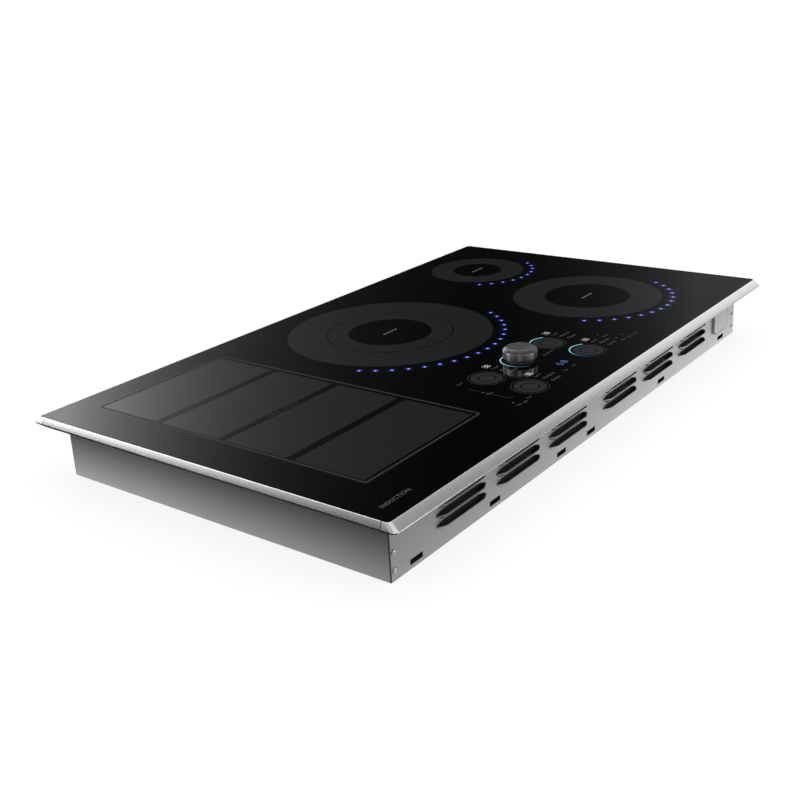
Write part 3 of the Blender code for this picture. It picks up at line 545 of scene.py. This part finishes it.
def louvre_edges(u, top):
    """Upper edge, tip line and lower edge of a louvre at u, as heights."""
    full = louvre_fullness(u)
    tip = top - 0.0042
    return tip + (top - tip) * full, tip + (top - LOUVRE_PITCH + 0.0014 - tip) * full


def louvre_stations(count=28):
    return [-cos(pi * i / count) for i in range(count + 1)]


def louvre_outline(centre, top):
    """Opening cut in the sheet for one louvre."""
    stations = louvre_stations()
    upper = [(centre + u * LOUVRE_LENGTH / 2, louvre_edges(u, top)[0]) for u in stations]
    lower = [(centre + u * LOUVRE_LENGTH / 2, louvre_edges(u, top)[1]) for u in reversed(stations[1:-1])]
    return upper + lower


def louvre_hood(bm, centre, top):
    """The pressed scoop of one louvre: a skin from the slot's lower edge out to a lip, its inside dark as
    painted shade.
    """
    across = 7
    rows = []
    for u in louvre_stations():
        full = louvre_fullness(u)
        upper, lower = louvre_edges(u, top)
        lip = upper - LOUVRE_DROP * full
        outside, inside = [], []
        for k in range(across + 1):
            v = k / across
            out = LOUVRE_REACH * full * (sin(v * pi / 2) * 0.55 + v * 0.45)
            x, y, z = centre + u * LOUVRE_LENGTH / 2, -BOX_Y - out, lower + (lip - lower) * v
            outside.append(bm.verts.new((x, y, z)))
            inside.append(bm.verts.new((x, y + LOUVRE_SKIN, z + LOUVRE_SKIN * v * 0.5)))
        rows.append(outside + inside[::-1])
    count = len(rows[0])
    for a, b in zip(rows, rows[1:]):
        for k in range(count):
            j = (k + 1) % count
            face = bm.faces.new((a[k], a[j], b[j], b[k]))
            # the inner faces take the second slot, a near-black metal that paints the shade inside the scoop
            face.material_index = 1 if k > across else 0
    bm.faces.new(rows[0])
    bm.faces.new(rows[-1][::-1])


def make_plate_shadow_line():
    """Black strip round the sides and the base of the access plate: a real gap, darkened with painted shadow.
    """
    plate_low, plate_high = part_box("access_plate")
    y0, y1, gap, radius = plate_low.y + 0.0002, plate_low.y + 0.0008, 0.0007, 0.0080
    left_x, right_x, base = plate_low.x - gap, plate_high.x + gap, plate_low.z - gap
    path = [(left_x, plate_high.z), *arc((left_x + radius, base + radius), radius, 180, 270, 10),
            *arc((right_x - radius, base + radius), radius, 270, 360, 10), (right_x, plate_high.z)]
    rows = []
    for i, (x, z) in enumerate(path):
        before, after = path[max(0, i - 1)], path[min(len(path) - 1, i + 1)]
        along = Vector((after[0] - before[0], after[1] - before[1])).normalized() * 0.00045
        rows.append([(x + along.y, y0, z - along.x), (x + along.y, y1, z - along.x),
                     (x - along.y, y1, z + along.x), (x - along.y, y0, z + along.x)])
    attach(loft("access_plate_shadow_line", rows, MATS["black"]), "cooktop")


def make_louvre_shade_sheet():
    """Black sheet behind the louvres, put where the inside of the box lies in shade: painted shade."""
    low, high = LOUVRE_ROWS[-1] - LOUVRE_PITCH - 0.002, LOUVRE_ROWS[0] + 0.003
    depth = -BOX_Y + 0.0045
    section = [(depth - 0.002, low - 0.002), (depth, low), (depth, high), (depth - 0.002, high + 0.002),
               (depth - 0.0012, high + 0.002), (depth + 0.0008, high), (depth + 0.0008, low),
               (depth - 0.0012, low - 0.002)]
    ends = (LOUVRE_COLUMNS[0] - 0.052, LOUVRE_COLUMNS[-1] + 0.052)
    shade_sheet = loft("louvre_shade_sheet", [[(x, y, z) for y, z in section] for x in ends], MATS["black"])
    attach(shade_sheet, "cooktop")


def make_front_panel():
    slots = [rectangle(x - SLOT_SIZE[0] / 2, x + SLOT_SIZE[0] / 2, SLOT_BASE, SLOT_BASE + SLOT_SIZE[1])
             for x in SLOT_CENTRES]
    openings = [louvre_outline(x, z) for x in LOUVRE_COLUMNS for z in LOUVRE_ROWS]
    edge = rectangle(SEAM - BOX_X, BOX_X - SEAM, 0.0, PANEL_TOP)
    bm = filled([edge] + slots + openings, SHEET)
    turn = Matrix.Rotation(radians(90), 4, "X")
    bmesh.ops.transform(bm, verts=bm.verts, matrix=Matrix.Translation((0, -BOX_Y + SHEET / 2, 0)) @ turn)
    panel = from_bmesh("front_wall", bm, MATS["panel"])
    soften(panel, 0.00025, 2, 60)
    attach(panel, "cooktop")
    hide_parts("front_panel")
    bm = bmesh.new()
    for x in LOUVRE_COLUMNS:
        for z in LOUVRE_ROWS:
            louvre_hood(bm, x, z)
    hoods = from_bmesh("louvre_scoops", bm, MATS["panel"], 50)
    hoods.data.materials.append(MATS["louvre_inside_painted_shade"])
    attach(hoods, "cooktop")
    make_plate_shadow_line()
    make_louvre_shade_sheet()
    # dark strips fill the gaps at the front wall's corners: the gap is real, its darkness is painted shade
    for name, side in (("left", -1), ("right", 1)):
        x, y = side * (BOX_X - 0.0001), -BOX_Y + 0.0002
        inner = side * (BOX_X - SEAM + 0.0001)
        section = [(x, y + 0.0002), ((x * 3 + inner) / 4, y), (inner, y), (inner, y + 0.0009), (x, y + 0.0009)]
        strip = loft(f"corner_seam_{name}", [[(a, b, z) for a, b in section] for z in (0.0, PANEL_TOP)],
                     MATS["seam"])
        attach(strip, "cooktop")


def make_screws():
    """Pan heads with a driver recess, over the CAD's plain screws."""
    head, height, recess = 0.0032, 0.0014, 0.0012
    profile = [(0, height * 0.25), (recess * 0.7, height * 0.30), (recess, height),
               (head * 0.62, height * 0.97),
               (head * 0.90, height * 0.62), (head, height * 0.25), (head, 0), (0.0018, 0), (0.0018, -0.006),
               (0, -0.006)]
    for name in [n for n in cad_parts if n.startswith("screw_")]:
        low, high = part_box(name)
        side = 1 if high.y > 0 else -1
        screw = turned(name.replace("screw_", "machine_screw_"), fillet(profile, 0.0003, 3), (0, 0),
                       MATS["screw"], 32)
        seat = Vector(((low.x + high.x) / 2, side * (BOX_Y + HAIR), (low.z + high.z) / 2))
        screw.data.transform(Matrix.Translation(seat) @ Matrix.Rotation(radians(-90 * side), 4, "X"))
        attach(screw, "cooktop")
        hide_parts(name)


# ---------------------------------------------------------------- printed zones
def make_zone_prints():
    for name, burner in BURNERS.items():
        centre = burner["centre"]
        loops = []
        for inner, outer in burner["bands"]:
            loops += [circle(centre, outer, 144), circle(centre, inner, 144)]
        printed_shape(f"burner_print_{name}", loops, MATS["zone"])
        marks = [rectangle(centre[0] - 0.015 + i * 0.0062, centre[0] - 0.0105 + i * 0.0062,
                           centre[1] - 0.0012, centre[1] + 0.0012) for i in range(5)]
        printed_shape(f"burner_mark_{name}", marks, MATS["label"])
    cells = [rectangle(-0.3960, -0.2030, low, high) for low, high in FLEX_CELLS]
    printed_shape("flex_cells_print", cells, MATS["zone"])
    line = 0.0011
    x0, x1, y0, y1 = *FLEX_X, *FLEX_Y
    printed_shape("flex_outline_print", [rounded(x0, x1, y0, y1, 0.004),
                                         rounded(x0 + line, x1 - line, y0 + line, y1 - line, 0.003)],
                  MATS["line"])
    inner = line + 0.0004
    dark = inner + 0.0016
    printed_shape("flex_matte_print", [rounded(x0 + inner, x1 - inner, y0 + inner, y1 - inner, 0.003),
                                       rounded(x0 + dark, x1 - dark, y0 + dark, y1 - dark, 0.002)],
                  MATS["matte"])
    marks = [rectangle(-0.322 + i * 0.0052, -0.3185 + i * 0.0052, 0.0136, 0.0164) for i in range(10) if i != 4]
    printed_shape("flex_label_print", marks, MATS["line"])


def finish_lamp(name, bm, mat):
    obj = from_bmesh(name, bm, mat)
    solid = obj.modifiers.new("film", "SOLIDIFY")
    solid.thickness = PRINT
    solid.offset = -1.0
    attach(obj, "cooktop")
    return obj


def lamp_dots(name, centres, radius, mat):
    """Round light spots with a glow value that falls from 1 in the middle to 0 at the rim."""
    bm = bmesh.new()
    layer = bm.verts.layers.float.new("glow")
    shares, sides = (0.0, 0.2, 0.4, 0.6, 0.8, 1.0), 20
    z = LAMP_HEIGHT
    for cx, cy in centres:
        rings = []
        for share in shares:
            count = 1 if share == 0 else sides
            ring = [bm.verts.new((cx + radius * share * cos(2 * pi * i / sides),
                                  cy + radius * share * sin(2 * pi * i / sides), z)) for i in range(count)]
            for vert in ring:
                vert[layer] = 1 - share
            rings.append(ring)
        for a, b in zip(rings, rings[1:]):
            for i in range(sides):
                j = (i + 1) % sides
                bm.faces.new(list(dict.fromkeys((a[i % len(a)], b[i], b[j], a[j % len(a)]))))
    return finish_lamp(name, bm, mat)


def lamp_strip(name, paths, width, mat, fade=0.0):
    """Light lines: a ribbon along each path, brightest along its middle; fade is the share that dims."""
    bm = bmesh.new()
    layer = bm.verts.layers.float.new("glow")
    z = LAMP_HEIGHT
    for path in paths:
        rows = []
        for i, point in enumerate(path):
            before, after = Vector(path[max(0, i - 1)]), Vector(path[min(len(path) - 1, i + 1)])
            along = (after - before).normalized()
            normal = Vector((-along.y, along.x))
            left = 1 - i / (len(path) - 1)
            power = 0.9 * (1.0 if left >= fade else 0.35 + 0.65 * left / fade)
            row = []
            for offset, glow in ((-1.0, 0.0), (-0.4, power), (0.4, power), (1.0, 0.0)):
                at = Vector(point) + normal * offset * width / 2
                vert = bm.verts.new((at.x, at.y, z))
                vert[layer] = glow
                row.append(vert)
            rows.append(row)
        for a, b in zip(rows, rows[1:]):
            for k in range(3):
                bm.faces.new((a[k], a[k + 1], b[k + 1], b[k]))
    return finish_lamp(name, bm, mat)


def make_lights_in_glass():
    for name, burner in BURNERS.items():
        start, end = burner["arc"]
        dots = arc(burner["centre"], burner["light"], start, end, burner["dots"] - 1)
        lamp_dots(f"light_ring_{name}", dots, 0.0057, MATS["led"])


# ---------------------------------------------------------------- touch controls
def make_controls():
    for name, (x, y) in PADS.items():
        disc = [circle((x, y), radius) for radius in (0.0196, 0.0117, 0.0101)]
        printed_shape(f"pad_print_{name}", disc, MATS["pad"])
        rim = [circle((x, y), radius) for radius in (0.0230, 0.0226)]
        printed_shape(f"pad_rim_{name}", rim, MATS["dim"])
    for name, start, end in (("rear_right", 46, 160), ("front_right", 46, 212)):
        path = arc(PADS[name], PAD_RADIUS + 0.003, start, end, 40)
        lamp_strip(f"pad_light_{name}", [path], 0.0023, MATS["cyan"], fade=0.5)
    path = arc((KNOB.x, KNOB.y), KNOB_RADIUS + 0.0032, 84, 238, 48)
    lamp_strip("knob_light", [path], 0.0023, MATS["cyan"], fade=0.45)
    for name, (x, y) in PADS.items():
        left, top = x + 0.0300, y + 0.0190
        glyphs(f"pad_level_{name}", left, top, 2, MATS["white"], 0.0072)
        marks = [(left - 0.0032, top + 0.001), (left + 0.0098, top + 0.001)]
        lamp_dots(f"pad_level_dots_{name}", marks, 0.0010, MATS["white"])
        words = [(word, left, top - 0.0100 - i * 0.0120, 0.0055) for i, word in enumerate(PAD_WORDS)]
        lettering(f"pad_words_{name}", words, MATS["dim"])
    glyphs("timer_digits", -0.0150, -0.1900, 3, MATS["digits"], 0.0080)
    lamp_dots("status_dots", STATUS_DOTS, 0.0013, MATS["white"])
    lettering("status_words", STATUS_WORDS, MATS["dim"])
    line = [rectangle(-0.1400, -0.1396, -0.1920, -0.1360), rectangle(-0.1400, -0.1330, -0.1924, -0.1920)]
    printed_shape("pad_bracket", line, MATS["dim"])
    lettering("front_word", [("INDUCTION", *FRONT_WORD, 0.0057)], MATS["word"], 1.04)


SEGMENTS = {"a": ((0, 2), (1, 2)), "b": ((1, 1), (1, 2)), "c": ((1, 0), (1, 1)), "d": ((0, 0), (1, 0)),
            "e": ((0, 0), (0, 1)), "f": ((0, 1), (0, 2)), "g": ((0, 1), (1, 1))}
DIGITS = {0: "abcdef", 1: "bc", 2: "abged", 3: "abgcd", 5: "afgcd", 8: "abcdefg"}


def glyphs(name, x, y, count, mat, height=0.0062):
    """Seven-segment numbers side by side, reading from left to right."""
    paths = []
    cell = height / 2
    for i in range(count):
        number = (1, 2, 3, 5, 8)[(i * 2 + count) % 5]
        for key in DIGITS[number]:
            (x0, y0), (x1, y1) = SEGMENTS[key]
            left = x + i * (cell + 0.0018)
            paths.append([(left + x0 * cell * 0.8, y + y0 * cell), (left + x1 * cell * 0.8, y + y1 * cell)])
    lamp_strip(name, paths, 0.0015, mat)


# ---------------------------------------------------------------- knob
def make_knob():
    """Metal cap with a gently domed top and a plain side; the chamfer ring between them is dark, painted
    shade.
    """
    top, skirt, r = KNOB_HIGH.z, KNOB_LOW.z, KNOB_RADIUS
    inner, face = r - 0.002, r - 0.0044
    dome = [(face * i / 8, top - 0.0005 * (i / 8) ** 2) for i in range(8)]
    profile = dome + [(face, top - 0.0005), (face, top - 0.0042), (r - 0.0002, top - 0.0042),
                      (r, top - 0.0044), (r, skirt + 0.0010), (r - 0.0006, skirt), (inner, skirt),
                      (inner, top - 0.0070), (0, top - 0.0070)]
    shell = turned("knob_shell", fillet(profile, 0.0003, 3), (KNOB.x, KNOB.y), MATS["knob"])
    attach(shell, "knob")
    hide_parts("knob_cap")
    inside, outside = face + 0.0002, r - 0.0004
    ring = [(inside, top - 0.0040), (inside, top - 0.0008), (inside + 0.0005, top - 0.0007),
            (outside, top - 0.0032), (outside, top - 0.0040)]
    # the chamfer ring is near-black: painted shade
    band = turned("knob_chamfer", ring + ring[:1], (KNOB.x, KNOB.y), MATS["knob_chamfer_painted_shade"])
    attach(band, "knob")


# ---------------------------------------------------------------- stage
def make_stage():
    """A pale floor; glossy rays see a painted glow on it, brightest beside the object and fading away from it.
    """
    bm = bmesh.new()
    bmesh.ops.create_grid(bm, x_segments=8, y_segments=8, size=30.0)
    bmesh.ops.translate(bm, verts=bm.verts, vec=(0, 0, -0.0006))
    mat, shader, node, feed = new_material("studio_floor")
    cloud = stretched_noise(node, 3.0, (1, 1, 1), detail=2.0)
    feed(shader, "Base Color", ramp(node, cloud, 0.895, 0.905, 0.3, 0.7))
    shader.inputs["Roughness"].default_value = 0.9
    shader.inputs["Specular IOR Level"].default_value = 0.0
    coords = node("TexCoord")
    split = node("SeparateXYZ", Vector=coords.outputs["Object"])

    def level(value, start, end, low, high, curve="LINEAR"):
        made = node("MapRange", {"interpolation_type": curve}, Value=value)
        for socket, number in (("From Min", start), ("From Max", end), ("To Min", low), ("To Max", high)):
            made.inputs[socket].default_value = number
        return made.outputs["Result"]

    def product(a, b):
        made = node("Math", {"operation": "MULTIPLY"})
        feed(made, 0, a)
        feed(made, 1, b)
        return made.outputs[0]

    # painted light for glossy rays only: the floor's glow falls away beside and in front of the object
    beside = level(split.outputs["X"], -BOX_X - 0.09, -BOX_X, FLOOR_NEAR * SIDE_FALL, FLOOR_NEAR)
    before = level(split.outputs["Y"], -BOX_Y - 0.10, -BOX_Y, FRONT_FALL, 1.0)
    across = level(split.outputs["X"], -0.45, 0.45, 0.66, 1.28, "SMOOTHSTEP")
    along = level(split.outputs["Y"], -0.25, 0.40, 0.95, 1.60)
    total = product(product(beside, before), product(across, along))
    glow = node("Emission", Strength=total)
    path = node("LightPath")
    mix = node("MixShader")
    feed(mix, 0, path.outputs["Is Glossy Ray"])
    feed(mix, 1, shader.outputs["BSDF"])
    feed(mix, 2, glow.outputs["Emission"])
    veil = node("Emission")
    share = product(path.outputs["Is Camera Ray"], 0.8)
    seen = node("MixShader")
    feed(seen, 0, share)
    feed(seen, 1, mix.outputs["Shader"])
    feed(seen, 2, veil.outputs["Emission"])
    feed(mat.node_tree.nodes["Material Output"], "Surface", seen.outputs["Shader"])
    floor = from_bmesh("floor", bm, mat)


def area(name, place, target, size, power, colour=(1, 1, 1)):
    data = bpy.data.lights.new(name, "AREA")
    data.shape = "RECTANGLE"
    data.size, data.size_y = size
    data.energy = power
    data.color = colour
    light = bpy.data.objects.new(name, data)
    light.location = place
    light.rotation_euler = (Vector(target) - Vector(place)).to_track_quat("-Z", "Y").to_euler()
    bpy.context.scene.collection.objects.link(light)
    return light


# Soft lights round the object, as glossy surfaces see them: the azimuths from +X where each one starts and
# ends, its brightness, and the degrees its glow takes to fall to 1/e before and after it.
STUDIO_LIGHTS = ((-202.0, -198.0, 0.95, 12.0, 12.0),
                 (-86.0, -78.0, 1.40, 23.0, 21.0),
                 (-13.0, -3.0, 1.20, 6.0, 7.0),
                 (8.0, 22.0, 0.35, 20.0, 3.0),
                 (56.0, 66.0, 3.45, 3.85, 10.0),
                 (120.0, 132.0, 4.30, 11.0, 6.5),
                 (158.0, 162.0, 0.95, 12.0, 12.0))
STUDIO_DARK = 0.010                             # brightness left between the lights
# painted light on the floor for glossy rays: its level by the object and the share left further out beside and
# in front
FLOOR_NEAR, SIDE_FALL, FRONT_FALL = 1.10, 0.0, 0.60


def make_world():
    """An even white room for diffuse light and the background; glossy surfaces see darker walls."""
    world = bpy.data.worlds.new("studio")
    world.use_nodes = True
    tree = world.node_tree
    background = tree.nodes["Background"]

    def node(kind, operation=None):
        made = tree.nodes.new("ShaderNode" + kind)
        if operation:
            made.operation = operation
        return made

    coords = node("TexCoord")
    split = node("SeparateXYZ")
    tree.links.new(coords.outputs["Generated"], split.inputs[0])
    turn = node("Math", "ARCTAN2")
    tree.links.new(split.outputs["Y"], turn.inputs[0])
    tree.links.new(split.outputs["X"], turn.inputs[1])

    def math(operation, a, b=0.0):
        made = node("Math", operation)
        for socket, value in zip(made.inputs, (a, b)):
            if isinstance(value, bpy.types.NodeSocket):
                tree.links.new(value, socket)
            else:
                socket.default_value = value
        return made.outputs[0]

    azimuth = math("MULTIPLY", turn.outputs[0], 180 / pi)
    glow = 0.0
    for start, end, level, before, after in STUDIO_LIGHTS:
        ahead = math("DIVIDE", math("SUBTRACT", start, azimuth), before)
        behind = math("DIVIDE", math("SUBTRACT", azimuth, end), after)
        away = math("MAXIMUM", math("MAXIMUM", ahead, behind), 0.0)
        fading = math("MULTIPLY", math("EXPONENT", math("MULTIPLY", away, -1.0)), level)
        glow = math("MAXIMUM", fading, glow)
    glow = math("ADD", glow, STUDIO_DARK)
    lift = node("MapRange")
    for socket, number in (("From Min", sin(radians(14))), ("From Max", sin(radians(27))), ("To Min", 0.8),
                           ("To Max", 1.4)):
        lift.inputs[socket].default_value = number
    tree.links.new(split.outputs["Z"], lift.inputs["Value"])
    rise = node("VectorMath", "SCALE")
    rise.inputs[0].default_value = (1, 1, 1)
    tree.links.new(math("MULTIPLY", glow, lift.outputs["Result"]), rise.inputs["Scale"])
    height = node("MapRange")
    height.interpolation_type = "SMOOTHSTEP"
    height.inputs["From Min"].default_value = sin(radians(38))
    height.inputs["From Max"].default_value = sin(radians(62))
    tree.links.new(split.outputs["Z"], height.inputs["Value"])
    ceiling = node("MixRGB")
    ceiling.inputs["Color2"].default_value = (0.95, 0.95, 0.95, 1)
    tree.links.new(height.outputs["Result"], ceiling.inputs["Fac"])
    tree.links.new(rise.outputs["Vector"], ceiling.inputs["Color1"])
    path = node("LightPath")
    choose = node("MixRGB")
    choose.inputs["Color1"].default_value = (1.25, 1.25, 1.25, 1)
    tree.links.new(path.outputs["Is Glossy Ray"], choose.inputs["Fac"])
    tree.links.new(ceiling.outputs["Color"], choose.inputs["Color2"])
    tree.links.new(choose.outputs["Color"], background.inputs["Color"])
    bpy.context.scene.world = world


def make_lights():
    area("left_softbox", (-2.6, -1.4, 1.3), (0, 0, 0.1), (0.9, 1.2), 12)
    area("right_softbox", (1.6, -2.8, 1.2), (0, 0, 0.1), (0.9, 1.2), 14)
    view = bpy.context.scene.view_settings
    view.view_transform = "Standard"
    view.look = "None"


make_camera()
finish_cad_nodes()
make_glass()
make_trims()
make_front_panel()
make_screws()
make_zone_prints()
make_lights_in_glass()
make_controls()
make_knob()
make_stage()
make_world()
make_lights()
